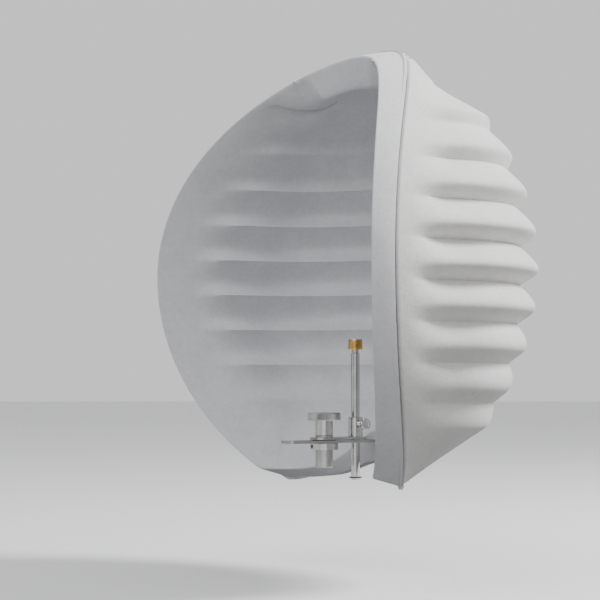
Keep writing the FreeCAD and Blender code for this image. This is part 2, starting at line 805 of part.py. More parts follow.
def make_post_collar():
    bore = "post_radius + running_gap"
    top = ARM_TOP + " + post_collar_height"
    outline = [(bore, ARM_UNDER), ("spigot_radius", ARM_UNDER), ("spigot_radius", ARM_TOP),
               ("post_collar_radius", ARM_TOP), ("post_collar_radius", top), (bore, top)]
    body = turned("post_collar", outline, y="post_offset")
    hole = sketch_on(body, "YZ_Plane", "thumb_hole")
    circle(hole, "thumb_radius + running_gap", "thumb", THUMB_AXIS)
    pocket(body, hole, "thumb_cut")
    doc.recompute()
    chamfer(body, body.Tip, "post_collar_edge", "small_break", is_ring(size("post_collar_radius"),
                                                             number(top)))
    return body


SIDEWAYS = Rotation(Vector(0, 1, 0), 90)
PAD_START = "post_radius + pad_gap"
PAD_END = PAD_START + " + tip_length"


def make_pressure_pad():
    return primitive("Cylinder", "pressure_pad", x=PAD_START, y="post_offset", z=THUMB_AXIS,
                     turn=SIDEWAYS, Radius="thumb_radius - pad_relief", Height="tip_length")


def make_thumbscrew():
    top = "thumb_reach + thumb_head_length"
    head = "thumb_head_radius"
    outline = [("0", PAD_END), ("thumb_radius", PAD_END), ("thumb_radius", "thumb_reach"),
               (head, "thumb_reach"), (head, top + " - small_break"),
               (head + " - small_break", top), ("0", top)]
    return turned("thumbscrew", outline, y="post_offset", z=THUMB_AXIS, turn=SIDEWAYS)


# ---------------------------------------------------------------- microphone post

GROOVE_LOW = "0 - post_bottom + groove_height"
GROOVE_HIGH = GROOVE_LOW + " + ring_thickness + groove_play"
THREAD_LOW = "post_top + neck_height"
THREAD_HIGH = THREAD_LOW + " + adapter_height"


def make_post_rod():
    rod, neck, thread = "post_radius", "neck_radius", "post_thread_radius"
    outline = [("0", "0 - post_bottom"), (rod + " - edge_break", "0 - post_bottom"),
               (rod, "0 - post_bottom + edge_break"), (rod, GROOVE_LOW), (neck, GROOVE_LOW),
               (neck, GROOVE_HIGH), (rod, GROOVE_HIGH), (rod, "post_top - edge_break"),
               (neck, "post_top"), (neck, THREAD_LOW), (thread, THREAD_LOW),
               (thread, THREAD_HIGH), ("0", THREAD_HIGH)]
    return turned("post_rod", outline, y="post_offset")


def make_retaining_ring():
    low = GROOVE_LOW + " + groove_play / 2"
    whole = washer("ring_blank", "neck_radius + running_gap", "ring_radius", low,
                   low + " + ring_thickness", y="post_offset")
    mouth = primitive("Box", "ring_mouth", x="0 - neck_radius * 0.6",
                      y="post_offset - ring_radius * 1.2", z=low + " - tool_overrun",
                      Length="neck_radius * 1.2", Width="ring_radius * 1.2",
                      Height="ring_thickness + 2 * tool_overrun")
    return combine("Cut", "retaining_ring", whole, mouth)


def make_thread_adapter():
    ring = washer("adapter_blank", "post_thread_radius", "adapter_radius", THREAD_LOW,
                  THREAD_HIGH, y="post_offset")
    notch = primitive("Box", "adapter_notch", x="0 - notch_width / 2",
                      y="post_offset - adapter_radius - tool_overrun",
                      z=THREAD_HIGH + " - notch_depth", Length="notch_width",
                      Width="adapter_radius * 2 + 2 * tool_overrun",
                      Height="notch_depth + tool_overrun")
    return combine("Cut", "mic_thread_adapter", ring, notch)


# ---------------------------------------------------------------- clamp knob


def make_clamp_barrel():
    bore, spigot = "stud_radius + running_gap", "disc_bore_radius"
    spigot_top, bore_top = DISC_UNDER + " + spigot_height", DISC_UNDER + " + stud_relief"
    outline = [(bore, BARREL_UNDER), ("barrel_radius - small_break", BARREL_UNDER),
               ("barrel_radius", BARREL_UNDER + " + small_break"), ("barrel_radius", DISC_UNDER),
               (spigot, DISC_UNDER), (spigot, spigot_top), ("0", spigot_top),
               ("0", bore_top), (bore, bore_top)]
    return turned("clamp_barrel", outline)


def make_clamp_disc():
    inner, outer = "disc_bore_radius", "disc_radius"
    top, floor = DISC_UNDER + " + disc_height", DISC_UNDER + " + spigot_height"
    outline = [(inner, DISC_UNDER), (outer + " - small_break", DISC_UNDER),
               (outer, DISC_UNDER + " + small_break"), (outer, top + " - edge_break"),
               (outer + " - edge_break", top), ("0", top), ("0", floor), (inner, floor)]
    return turned("clamp_disc", outline)


# ---------------------------------------------------------------- bar and mount block

BAR_END = FLANGE_Y + " + bar_inside"
FIRST_SCREW_Y = BLOCK_FRONT + " + bar_screw_inset"
SECOND_SCREW_Y = FIRST_SCREW_Y + " + bar_screw_spacing"
HEAD_DEPTH = "bar_screw_head_radius - bar_screw_radius"


def make_main_bar():
    body = new_body("main_bar", z=BAR_UNDER)
    sketch = sketch_on(body, "XY_Plane", "bar_outline")
    left, right = "0 - bar_width / 2", "bar_width / 2"
    front = "0 - bar_front"
    polygon(sketch, [(left, front), (right, front), (right, BAR_END), (left, BAR_END)], "p")
    pad(body, sketch, "bar_pad", "bar_thickness")
    doc.recompute()
    slot = sketch_on(body, "XY_Plane", "bar_slot")
    long_hole(slot, "slot_width / 2", "0 - slot_front", "slot_rear", "slot")
    pocket(body, slot, "slot_cut")
    screws = sketch_on(body, "XY_Plane", "screw_holes")
    circle(screws, "bar_screw_radius", "first", FIRST_SCREW_Y)
    circle(screws, "bar_screw_radius", "second", SECOND_SCREW_Y)
    pocket(body, screws, "screw_cut")
    doc.recompute()
    rims = is_ring(size("bar_screw_radius"), size("bar_thickness"))
    chamfer(body, body.Tip, "countersinks", HEAD_DEPTH, rims)
    fillet_corners(body, body.Tip, "bar_corners")
    return body


def fillet_corners(body, base, name):
    """Round the two upright corners at the bar's front end."""
    doc.recompute()
    front = -size("bar_front")
    edges = []
    for index, edge in enumerate(base.Shape.Edges):
        middle = edge.CenterOfMass
        upright = abs(edge.BoundBox.ZLength - size("bar_thickness")) < 0.01
        if upright and abs(middle.y - front) < 0.01:
            edges.append("Edge%d" % (index + 1))
    feature = body.newObject("PartDesign::Fillet", name)
    feature.Base = (base, edges)
    feature.setExpression("Radius", cells("bar_corner_radius"))


def make_bar_screws():
    """Two countersunk screws, flush with the bar's top."""
    parts = []
    for index, y in enumerate((FIRST_SCREW_Y, SECOND_SCREW_Y)):
        shank = primitive("Cylinder", "bar_screw_shank_%d" % index, y=y,
                          z=BAR_TOP + " - bar_screw_length",
                          Radius="bar_screw_radius", Height="bar_screw_length")
        head = primitive("Cone", "bar_screw_head_%d" % index, y=y,
                         z=BAR_TOP + " - bar_screw_head_radius + bar_screw_radius",
                         Radius1="bar_screw_radius", Radius2="bar_screw_head_radius",
                         Height=HEAD_DEPTH)
        parts += [shank, head]
    return fuse("bar_screws", *parts)


def block_drop(y_text):
    """How far the hollow wall's floor lies under the bar, less a small clearance."""
    _front, _rear, inward = floor_line()
    floor = floor_height(number(y_text)) + size("felt") / inward.z
    return number(BAR_UNDER) - floor - 2 * size("free_gap")


def make_mount_block():
    body = new_body("mount_block")
    sketch = sketch_on(body, "YZ_Plane", "block_outline")
    rear = BLOCK_FRONT + " + block_length"
    low_front = BAR_UNDER + " - block_front_drop"
    low_rear = BAR_UNDER + " - block_rear_drop"
    polygon(sketch, [(BLOCK_FRONT, low_front), (rear, low_rear), (rear, BAR_UNDER),
                     (BLOCK_FRONT, BAR_UNDER)], "p")
    pad(body, sketch, "block_pad", "block_width", midplane=True)
    return body


def make_block_and_shell_screws():
    """Mount block bored for its screws and inserts, and the fasteners under the outer shell."""
    solid = make_mount_block()
    solid.Label = "block_blank"
    _front, _rear, inward = floor_line()
    screws, washers, inserts, cutters = [], [], [], []
    seat = size("shell_washer_thickness")
    insert_start = size("felt") + 2 * size("free_gap") + size("insert_setback")
    for index, outer_face in enumerate(shell_screw_points()):
        neck = "shell_screw_radius + free_gap"
        screws.append(cylinder_along("shell_screw_head_%d" % index, "shell_screw_head_radius",
                                     "shell_screw_head_height",
                                     outer_face - inward * size("shell_screw_head_height"),
                                     inward))
        screws.append(cylinder_along("shell_screw_shank_%d" % index, "shell_screw_radius",
                                     "shell_screw_length", outer_face, inward))
        disc = cylinder_along("shell_washer_disc_%d" % index, "shell_washer_radius",
                              "shell_washer_thickness", outer_face, inward)
        hole = cylinder_along("shell_washer_hole_%d" % index, neck,
                              "shell_washer_thickness + felt",
                              outer_face - inward * seat, inward)
        washers.append(combine("Cut", "shell_washer_%d" % index, disc, hole))
        start = outer_face + inward * insert_start
        sleeve = cylinder_along("insert_sleeve_%d" % index, "insert_radius", "insert_length",
                                start, inward)
        thread = cylinder_along("insert_thread_%d" % index, "shell_screw_radius",
                                "insert_length + felt + felt", outer_face, inward)
        inserts.append(combine("Cut", "insert_%d" % index, sleeve, thread))
        pocket_start = outer_face + inward * (size("felt") - size("tool_overrun"))
        cutters.append(cylinder_along("insert_pocket_%d" % index, "insert_radius",
                                      "insert_length + tool_overrun + insert_setback "
                                      "+ 2 * free_gap", pocket_start, inward))
    for index, y in enumerate((FIRST_SCREW_Y, SECOND_SCREW_Y)):
        cutters.append(primitive("Cylinder", "bar_screw_bore_%d" % index, y=y,
                                 z=BAR_TOP + " - bar_screw_length", Radius="bar_screw_radius",
                                 Height="bar_screw_length"))
    block = combine("Cut", "mount_block", solid, fuse("block_cuts", *cutters))
    return block, fuse("shell_screws", *screws), fuse("shell_washers", *washers), \
        fuse("threaded_inserts", *inserts)


# ---------------------------------------------------------------- the whole object


def derived_cell(row, alias, value):
    """A value worked out from the driving sizes and kept in the sheet beside them."""
    sheet.set("A%d" % row, alias)
    sheet.set("B%d" % row, "%.4f" % value)
    sheet.setAlias("B%d" % row, alias)
    NAMES.add(alias)


def build():
    """Make every sub-part. Each entry is a node's name and its object."""
    first_free = len(SIZES) + 2
    derived_cell(first_free, "block_front_drop", block_drop(BLOCK_FRONT))
    derived_cell(first_free + 1, "block_rear_drop", block_drop(BLOCK_FRONT + " + block_length"))
    doc.recompute()
    outer_solid, inner_solid = raw_shells()
    outer_blank = raw_feature("outer_blank", outer_solid)
    inner_blank = raw_feature("inner_blank", inner_solid)
    block, shell_screws, shell_washers, inserts = make_block_and_shell_screws()
    stud_hole = "stud_radius + free_gap"
    return {
        "outer_shell": make_outer_shell(outer_blank),
        "inner_shell": make_inner_shell(inner_blank),
        "main_bar": make_main_bar(),
        "mount_block": block,
        "bar_screws": make_bar_screws(),
        "shell_screws": shell_screws,
        "shell_washers": shell_washers,
        "threaded_inserts": inserts,
        "stand_tube": make_stand_tube(),
        "seat_collar": make_seat_collar(),
        "seat_grub_screw": make_grub_screw(),
        "clamp_stud": make_clamp_stud(),
        "friction_washer": washer("friction_washer", stud_hole, "friction_radius", BAR_TOP,
                                  ARM_UNDER),
        "arm_plate": make_arm_plate(),
        "post_collar": make_post_collar(),
        "pressure_pad": make_pressure_pad(),
        "thumbscrew": make_thumbscrew(),
        "retaining_ring": make_retaining_ring(),
        "post_rod": make_post_rod(),
        "mic_thread_adapter": make_thread_adapter(),
        "clamp_washer": washer("clamp_washer", stud_hole, "barrel_radius - 0.2", ARM_TOP,
                               BARREL_UNDER),
        "clamp_barrel": make_clamp_barrel(),
        "clamp_disc": make_clamp_disc(),
    }


def check(nodes):
    """Stop if any object failed, or a sub-part isn't a sound closed shape."""
    for item in doc.Objects:
        if "Invalid" in item.State or "Error" in item.State:
            raise RuntimeError("%s failed: %s" % (item.Name, item.State))
    for name, item in nodes.items():
        shape = item.Shape
        if shape.isNull() or not shape.isValid() or not shape.Solids:
            raise RuntimeError("%s has no sound solid" % name)


def write(nodes):
    os.makedirs("parts", exist_ok=True)
    for name, item in nodes.items():
        item.Label = name
        item.Shape.exportStep(os.path.join("parts", name + ".step"))
        print("%-20s solids %d volume %.0f" % (name, len(item.Shape.Solids), item.Shape.Volume))


parts = build()
doc.recompute()
check(parts)
write(parts)
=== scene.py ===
import json
import math

import bpy
import numpy as np
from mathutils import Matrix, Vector


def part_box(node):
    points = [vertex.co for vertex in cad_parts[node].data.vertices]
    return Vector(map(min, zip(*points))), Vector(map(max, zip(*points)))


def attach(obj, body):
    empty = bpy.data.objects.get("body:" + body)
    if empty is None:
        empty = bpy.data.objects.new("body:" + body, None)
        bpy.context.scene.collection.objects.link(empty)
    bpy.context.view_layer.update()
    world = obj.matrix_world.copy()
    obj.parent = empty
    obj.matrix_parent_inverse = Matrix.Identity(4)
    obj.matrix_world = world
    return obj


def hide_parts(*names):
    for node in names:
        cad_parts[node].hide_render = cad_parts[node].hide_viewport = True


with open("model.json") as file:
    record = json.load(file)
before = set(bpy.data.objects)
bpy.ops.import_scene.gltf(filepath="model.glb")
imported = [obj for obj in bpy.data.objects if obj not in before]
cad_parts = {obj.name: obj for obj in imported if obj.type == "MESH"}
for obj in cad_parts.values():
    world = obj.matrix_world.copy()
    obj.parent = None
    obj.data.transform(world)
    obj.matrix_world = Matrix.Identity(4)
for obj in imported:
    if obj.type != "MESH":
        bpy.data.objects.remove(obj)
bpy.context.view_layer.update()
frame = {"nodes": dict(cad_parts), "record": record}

# Microphone isolation shield: the moulded felt dome, its turned-back rim band and the plated
# hardware under it. Lengths named in millimetres are brought to metres with MM.

MM = 0.001
nodes = frame["nodes"]

# ---------------------------------------------------------------- dome

HALF_WIDTH = 240.0      # centre to the side
HALF_HEIGHT = 238.0     # centre to the top
DEPTH = 172.0           # centre plane to the rearmost crest
CENTRE_Y, CENTRE_Z = 35.0, 210.0
LOWER_FULLNESS = 1.09   # lower half of the front view over the upper half
LOWER_DEPTH = 1.0       # lower half of the side view over the upper half
DEPTH_POWER = 1.85      # the side view is a little flatter than an ellipse
RIM_REACH = 122.0       # centre plane to the foremost point of the rim
SWEEP_UP, SWEEP_DOWN = 285.0, 358.0
RIM_LIP = 9.0           # the rim's inner edge inside the outer surface
BAND_WIDTH, BAND_GROWTH = 24.0, 6.0
FELT = 6.0
WALL_DEPTH = 30.0
WALL_BLEND = 90.0
RIB_PITCH = 40.0
RIB_LIMIT = 160.0       # height of the outermost crests
RIB_DEPTH, RIB_FALLOFF, RIB_DEPTH_MIN = 22.0, 0.1, 8.0
RIB_START, RIB_FADE = 8.0, 62.0
CREST_DROP = 5.0        # how far each crest lies under the middle of its rib
CREST_ROUND = 0.14      # softening of the crest, as a share of half a rib
UPPER_CURVE, LOWER_CURVE = 1.35, 1.15
SHOULDER_FLAT = 14.0    # the smooth top lies inside the dome's round outline
SHOULDER_RIPPLE = 2.5
CHIN, CHIN_OUTER = 216.0, 226.0
ARCH_RISE, ARCH_OUTER_RISE = 45.0, 20.0
ARCH_WIDTH, ARCH_SETBACK, ARCH_LEAN, ARCH_POWER = 45.0, 30.0, 1.0, 1.6
SMOOTH_TOP = 190.0      # height where the rows start to close over the top
TOP_ANGLE = 20.0        # degrees of rim that the highest row follows, each side
CHEEK_SPREAD = 0.12
CORNER_POWER = 6

LIP_ROUND = 3.4         # rounding where the bowl folds over into the band
SEAM_ROUND = 2.2        # rounding of both edges at the seam
SEAM_GAP = 0.9          # half the gap of the seam
SEAM_DEPTH = 4.0
BAND_PUFF = 0.9         # how far the band swells between its two edges
SKIN_THICKNESS = 3.0

CHEEK_STEPS, ARC_STEPS = 28, 132
BOTTOM_ROWS, RIB_ROWS, SHOULDER_ROWS, TOP_ROWS = 22, 128, 8, 24
EDGE_STEPS = 6
RING_STEPS = 4          # steps into the face that give an edge its direction
EVENING_PASSES = 16     # neighbours averaged along an edge
ROUNDING_PASSES = 6
DRAW_REACH = 4.0        # widths over which a drawn-in edge eases out
CORNER_SPREAD = 5.0     # reach of a corner's pull on the points beside it
WELD_GAP = 0.00002
SEARCH_LOW, SEARCH_HIGH, SEARCH_STEPS = 0.2, 3.0, 24


def smooth(value):
    value = min(max(value, 0.0), 1.0)
    return value * value * (3 - 2 * value)


def half_width(z, inset):
    reach = HALF_HEIGHT * (LOWER_FULLNESS if z < 0 else 1.0) - inset
    return (HALF_WIDTH - inset) * math.sqrt(max(0.0, 1 - (z / reach) ** 2))


def half_depth(z, inset):
    reach = HALF_HEIGHT * (LOWER_DEPTH if z < 0 else 1.0) - inset
    share = max(0.0, 1 - (abs(z) / reach) ** DEPTH_POWER)
    return (DEPTH - inset) * share ** (1 / DEPTH_POWER)


def rim_y(z):
    radius = SWEEP_UP if z > 0 else SWEEP_DOWN
    return radius - math.sqrt(radius ** 2 - z ** 2) - RIM_REACH


def seam_y(z):
    return rim_y(z) + BAND_WIDTH + BAND_GROWTH * (z / HALF_HEIGHT) ** 2


def rib_wave(z):
    """0 on a crest and 1 in a valley: a full, rounded upper face over a steeper lower one."""
    above_valley = (z + RIB_PITCH / 2) % RIB_PITCH
    crest = RIB_PITCH / 2 - CREST_DROP
    if above_valley < crest:
        share, curve = 1 - above_valley / crest, LOWER_CURVE
    else:
        share, curve = (above_valley - crest) / (RIB_PITCH - crest), UPPER_CURVE
    rounded = math.sqrt(share ** 2 + CREST_ROUND ** 2) - CREST_ROUND
    return (rounded / (math.sqrt(1 + CREST_ROUND ** 2) - CREST_ROUND)) ** curve


def rib_inset(z, distance):
    """How far the skin lies inside the dome's round outline."""
    grown = smooth((distance - RIB_START) / RIB_FADE)
    low, high = -RIB_LIMIT - CREST_DROP, RIB_LIMIT - CREST_DROP
    if z <= low:
        return 0.0
    if z < high:
        depth = max(RIB_DEPTH - RIB_FALLOFF * abs(z), RIB_DEPTH_MIN)
        return depth * rib_wave(z) * grown
    share = min((z - high) / (HALF_HEIGHT - high), 1.0)
    arc = 4 * share * (1 - share)
    return (SHOULDER_FLAT * arc + SHOULDER_RIPPLE * rib_wave(z) * (1 - share)) * grown


class Skin:
    """One visible face of the felt wall, as rows of points from the arch to the rim's top."""

    def __init__(self, at_seam, edge_inset, deep_inset, fold=0.0):
        self.at_seam = at_seam
        self.edge_inset = edge_inset
        self.deep_inset = deep_inset
        self.fold = fold

    def edge_y(self, z):
        return seam_y(z) if self.at_seam else rim_y(z)

    def inset(self, distance):
        share = min(distance / WALL_BLEND, 1.0)
        return self.edge_inset + (self.deep_inset - self.edge_inset) * share * (2 - share)

    def edge_point(self, z):
        return np.array((half_width(z, self.edge_inset), self.edge_y(z), z))

    def row(self, z):
        start = self.edge_y(z)
        shift = 0.0 if self.at_seam else -BAND_WIDTH
        points, lengths = [], []
        for step in range(CHEEK_STEPS):
            y = start if start > 0 else start * (1 - step / CHEEK_STEPS)
            length = y - start
            depth = self.inset(length) + rib_inset(z, length + shift)
            points.append((half_width(z, depth), y, z))
            lengths.append(length)
        for step in range(ARC_STEPS // 2 + 1):
            turn = math.pi * step / ARC_STEPS
            length = half_depth(z, 0) * turn + max(-start, 0)
            depth = self.inset(length) + rib_inset(z, length + shift)
            points.append((half_width(z, depth) * math.cos(turn),
                           half_depth(z, depth) * math.sin(turn), z))
            lengths.append(length)
        points += [(-x, y, up) for x, y, up in reversed(points[:-1])]
        return np.array(points), lengths + lengths[-2::-1]

    def top_edge(self, spread):
        points = []
        for share in spread:
            angle = math.radians(TOP_ANGLE * share)
            z = (HALF_HEIGHT - self.edge_inset) * math.cos(angle)
            x = (HALF_WIDTH - self.edge_inset) * math.sin(angle)
            points.append((x, self.edge_y(z), z))
        return np.array(points)

    def arch(self, spread):
        corner = self.edge_point(-CHIN_OUTER if self.at_seam else -CHIN)
        rise = ARCH_OUTER_RISE if self.at_seam else ARCH_RISE
        setback = ARCH_SETBACK + (ARCH_LEAN if self.at_seam else 0.0)
        tail = math.exp(-(corner[0] / ARCH_WIDTH) ** 2)
        points = []
        for share in spread:
            x = corner[0] * share
            bump = (math.exp(-(x / ARCH_WIDTH) ** 2) - tail) / (1 - tail)
            inner = 1 - share ** 4
            y = corner[1] + (setback - corner[1]) * (1 - abs(share) ** ARCH_POWER)
            points.append((x, y + self.fold * inner, corner[2] + rise * bump + self.fold * inner))
        return np.array(points)

    def blended(self, level, far, share, edge_z, spread, lengths):
        mixed = level + (far - level) * share
        if lengths is not None:
            near = 1 - share ** 2
            mixed = np.array([self.on_dome(p, d * near) for p, d in zip(mixed, lengths)])
        wanted = self.edge_point(edge_z)
        mirrored = wanted * (-1, 1, 1)
        weight = np.abs(spread)[:, None] ** CORNER_POWER
        right = (wanted - mixed[0]) * weight
        left = (mirrored - mixed[-1]) * weight
        return mixed + np.where(spread[:, None] > 0, right, left)

    def on_dome(self, point, distance):
        low, high = SEARCH_LOW, SEARCH_HIGH
        for _step in range(SEARCH_STEPS):
            scale = (low + high) / 2
            x, z = point[0] * scale, point[2] * scale
            y = point[1] * scale if point[1] > 0 else point[1]
            depth = self.inset(distance) + rib_inset(z, distance)
            width, behind = half_width(z, depth), half_depth(z, depth)
            outside = width <= 0 or behind <= 0 or abs(z) > HALF_HEIGHT - depth
            if not outside:
                back = (y / behind) ** 2 if y > 0 else 0.0
                outside = (x / width) ** 2 + back > 1
            if outside:
                high = scale
            else:
                low = scale
        return x, y, z

    def grid(self):
        """Points as an array [row][column], in millimetres from the dome's centre."""
        cheek = [1 - CHEEK_SPREAD * step / CHEEK_STEPS for step in range(CHEEK_STEPS)]
        back = [(1 - CHEEK_SPREAD) * math.cos(math.pi * step / ARC_STEPS)
                for step in range(ARC_STEPS + 1)]
        spread = np.array(cheek + back + [-value for value in reversed(cheek)])
        low, high = -RIB_LIMIT - CREST_DROP, RIB_LIMIT - CREST_DROP
        lowest, _lengths = self.row(low)
        bottom = self.arch(spread)
        corner_z = -CHIN_OUTER if self.at_seam else -CHIN
        rows = []
        for step in range(BOTTOM_ROWS):
            share = 1 - step / BOTTOM_ROWS
            edge_z = low + (corner_z - low) * share
            if step == 0:
                rows.append(bottom)
            else:
                rows.append(self.blended(lowest, bottom, share, edge_z, spread, None))
        for step in range(RIB_ROWS + 1):
            rows.append(self.row(low + (high - low) * step / RIB_ROWS)[0])
        for step in range(1, SHOULDER_ROWS + 1):
            z = high + (SMOOTH_TOP - high) * step / SHOULDER_ROWS
            highest, lengths = self.row(z)
            rows.append(highest)
        top = self.top_edge(spread)
        for step in range(1, TOP_ROWS + 1):
            share = step / TOP_ROWS
            edge_z = SMOOTH_TOP + (top[0][2] - SMOOTH_TOP) * share
            if step == TOP_ROWS:
                rows.append(top)
            else:
                rows.append(self.blended(highest, top, share, edge_z, spread, lengths))
        return np.array(rows)


def around(grid):
    """The grid's border as one closed loop of points, starting at the lower right corner."""
    return np.concatenate((grid[0, :-1], grid[:-1, -1], grid[-1, :0:-1], grid[:0:-1, 0]))


def inner_ring(grid):
    """For each border point, its neighbour a few steps into the face."""
    inside = grid[RING_STEPS:-RING_STEPS, RING_STEPS:-RING_STEPS]
    rows, columns = grid.shape[:2]
    last_row, last_column = inside.shape[0] - 1, inside.shape[1] - 1
    across, up = np.arange(columns), np.arange(rows)
    column = np.clip(across - RING_STEPS, 0, last_column)
    row = np.clip(up - RING_STEPS, 0, last_row)
    return np.concatenate((inside[0, column[:-1]], inside[row[:-1], -1],
                           inside[-1, column[:0:-1]], inside[row[:0:-1], 0]))


def unit(vectors):
    lengths = np.linalg.norm(vectors, axis=1, keepdims=True)
    return vectors / np.maximum(lengths, 1e-9)


def evened(directions):
    """Directions around a closed loop, averaged with their neighbours."""
    for _pass in range(EVENING_PASSES):
        directions = unit(np.roll(directions, 1, axis=0) + 2 * directions
                          + np.roll(directions, -1, axis=0))
    return directions


def rounded(loop):
    """A closed loop of points with its sharp corners taken off."""
    for _pass in range(ROUNDING_PASSES):
        loop = (np.roll(loop, 1, axis=0) + 2 * loop + np.roll(loop, -1, axis=0)) / 4
    return loop


def square_to(loop, towards):
    """Unit directions from a closed loop of points towards others, square to the loop."""
    along = unit(np.roll(loop, -1, axis=0) - np.roll(loop, 1, axis=0))
    offset = towards - loop
    return evened(unit(offset - along * (offset * along).sum(axis=1, keepdims=True)))


def drawn_in(grid, directions, amount):
    """The face with its edge drawn in by an amount, easing out over a few widths."""
    loop, reach = around(grid), amount * DRAW_REACH
    result = []
    for row in grid:
        square = ((row[:, None, :] - loop[None]) ** 2).sum(axis=2)
        nearest = square.min(axis=1, keepdims=True)
        weight = np.exp((nearest - square) / CORNER_SPREAD ** 2)
        share = np.maximum(0.0, 1 - np.sqrt(nearest) / reach)
        result.append(row + unit(weight @ directions) * amount * share)
    return np.array(result)


def bend(start, corner, end, share):
    """A point on the rounded corner between two tangent points."""
    return (1 - share) ** 2 * start + 2 * share * (1 - share) * corner + share ** 2 * end


# ---------------------------------------------------------------- mesh helpers


def only(obj):
    bpy.ops.object.select_all(action="DESELECT")
    obj.select_set(True)
    bpy.context.view_layer.objects.active = obj


def new_from_active(name):
    obj = bpy.context.active_object
    obj.name = name
    obj.data.name = name
    return obj


def place_in_mesh(obj):
    """Leave the object at the origin, with its place in its mesh."""
    only(obj)
    bpy.ops.object.transform_apply(location=True, rotation=True, scale=True)


def shaped_grid(name, points):
    """A grid primitive whose points are laid on an array of positions [row][column]."""
    rows, columns = points.shape[:2]
    bpy.ops.object.select_all(action="DESELECT")
    bpy.ops.mesh.primitive_grid_add(x_subdivisions=columns - 1, y_subdivisions=rows - 1, size=2)
    obj = new_from_active(name)
    co = np.empty(len(obj.data.vertices) * 3)
    obj.data.vertices.foreach_get("co", co)
    co = co.reshape(-1, 3)
    column = np.rint((co[:, 0] + 1) / 2 * (columns - 1)).astype(int)
    row = np.rint((co[:, 1] + 1) / 2 * (rows - 1)).astype(int)
    placed = points[row, column] + np.array((0, CENTRE_Y, CENTRE_Z))
    obj.data.vertices.foreach_set("co", (placed * MM).ravel())
    obj.data.update()
    return obj


def joined(name, first, second):
    """Two grids made one, with the points where they meet merged."""
    bpy.ops.object.select_all(action="DESELECT")
    second.select_set(True)
    first.select_set(True)
    bpy.context.view_layer.objects.active = first
    bpy.ops.object.join()
    obj = new_from_active(name)
    bpy.ops.object.mode_set(mode="EDIT")
    bpy.ops.mesh.select_all(action="SELECT")
    bpy.ops.mesh.remove_doubles(threshold=WELD_GAP)
    bpy.ops.mesh.normals_make_consistent(inside=False)
    bpy.ops.object.mode_set(mode="OBJECT")
    return obj


def apply_modifier(obj, kind, name, **settings):
    only(obj)
    modifier = obj.modifiers.new(name, kind)
    for key, value in settings.items():
        setattr(modifier, key, value)
    bpy.ops.object.modifier_apply(modifier=name)


def shade(obj, angle):
    only(obj)
    bpy.ops.object.shade_smooth_by_angle(angle=math.radians(angle))


def face_away(obj, inside_point, outwards):
    """Turn the whole sheet over if its faces look the wrong way from a point."""
    mesh = obj.data
    count = len(mesh.polygons)
    normals, centres = np.empty(count * 3), np.empty(count * 3)
    mesh.polygons.foreach_get("normal", normals)
    mesh.polygons.foreach_get("center", centres)
    away = centres.reshape(-1, 3) - np.array(inside_point)
    looking_out = (normals.reshape(-1, 3) * away).sum(axis=1).mean() > 0
    if looking_out != outwards:
        only(obj)
        bpy.ops.object.mode_set(mode="EDIT")
        bpy.ops.mesh.select_all(action="SELECT")
        bpy.ops.mesh.flip_normals()
        bpy.ops.object.mode_set(mode="OBJECT")


FELT_SMOOTH, KNURL_SMOOTH = 60.0, 25.0      # degrees between faces that still look smooth
DOME_CENTRE = (0.0, CENTRE_Y * MM, CENTRE_Z * MM)


def make_outer_felt(outside, inward):
    """The ribbed outer skin, its edge rounded down into the seam."""
    border = around(outside)
    along = square_to(border, inner_ring(outside))
    grid = drawn_in(outside, along, SEAM_ROUND)
    start = around(grid)
    corner = rounded(border) + along * SEAM_GAP
    end = corner + inward * SEAM_DEPTH
    strip = [bend(start, corner, end, step / EDGE_STEPS) for step in range(EDGE_STEPS + 1)]
    strip = np.array([np.vstack((ring, ring[:1])) for ring in strip])
    skin = shaped_grid("outer_felt_skin", grid)
    lip = shaped_grid("outer_felt_edge", strip)
    felt = joined("outer_felt", skin, lip)
    face_away(felt, DOME_CENTRE, True)
    apply_modifier(felt, "SOLIDIFY", "thickness", thickness=SKIN_THICKNESS * MM, offset=-1.0)
    shade(felt, FELT_SMOOTH)
    return felt


def make_inner_felt(bowl, outside, inward):
    """The bowl, folded over the rim into the band that ends at the seam."""
    rim, seam = rounded(around(bowl)), rounded(around(outside))
    into_bowl, across_band = square_to(rim, inner_ring(bowl)), evened(unit(seam - rim))
    grid = drawn_in(bowl, into_bowl, LIP_ROUND)
    start = around(grid)
    turned = rim + across_band * LIP_ROUND
    near_seam = seam - across_band * SEAM_ROUND
    corner = seam - across_band * SEAM_GAP
    end = corner + inward * SEAM_DEPTH
    rings = [bend(start, rim, turned, step / EDGE_STEPS) for step in range(EDGE_STEPS + 1)]
    for step in range(1, EDGE_STEPS):
        share = step / EDGE_STEPS
        puff = BAND_PUFF * 4 * share * (1 - share)
        rings.append(turned + (near_seam - turned) * share - inward * puff)
    rings += [bend(near_seam, corner, end, step / EDGE_STEPS) for step in range(EDGE_STEPS + 1)]
    strip = np.array([np.vstack((ring, ring[:1])) for ring in rings])
    skin = shaped_grid("inner_felt_skin", grid)
    band = shaped_grid("inner_felt_band", strip)
    felt = joined("inner_felt", skin, band)
    face_away(felt, DOME_CENTRE, False)
    apply_modifier(felt, "SOLIDIFY", "thickness", thickness=SKIN_THICKNESS * MM, offset=-1.0)
    shade(felt, FELT_SMOOTH)
    return felt


outside = Skin(True, 0.0, 0.0).grid()
outside_back = Skin(True, FELT, FELT, fold=FELT).grid()
bowl = Skin(False, RIM_LIP, WALL_DEPTH).grid()
inward = evened(unit(around(outside_back) - around(outside)))

outer_felt = make_outer_felt(outside, inward)
inner_felt = make_inner_felt(bowl, outside, inward)
for felt, node, slot in ((outer_felt, "outer_shell", "felt_outer"),
                         (inner_felt, "inner_shell", "felt_inner")):
    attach(felt, "shield")
    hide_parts(node)

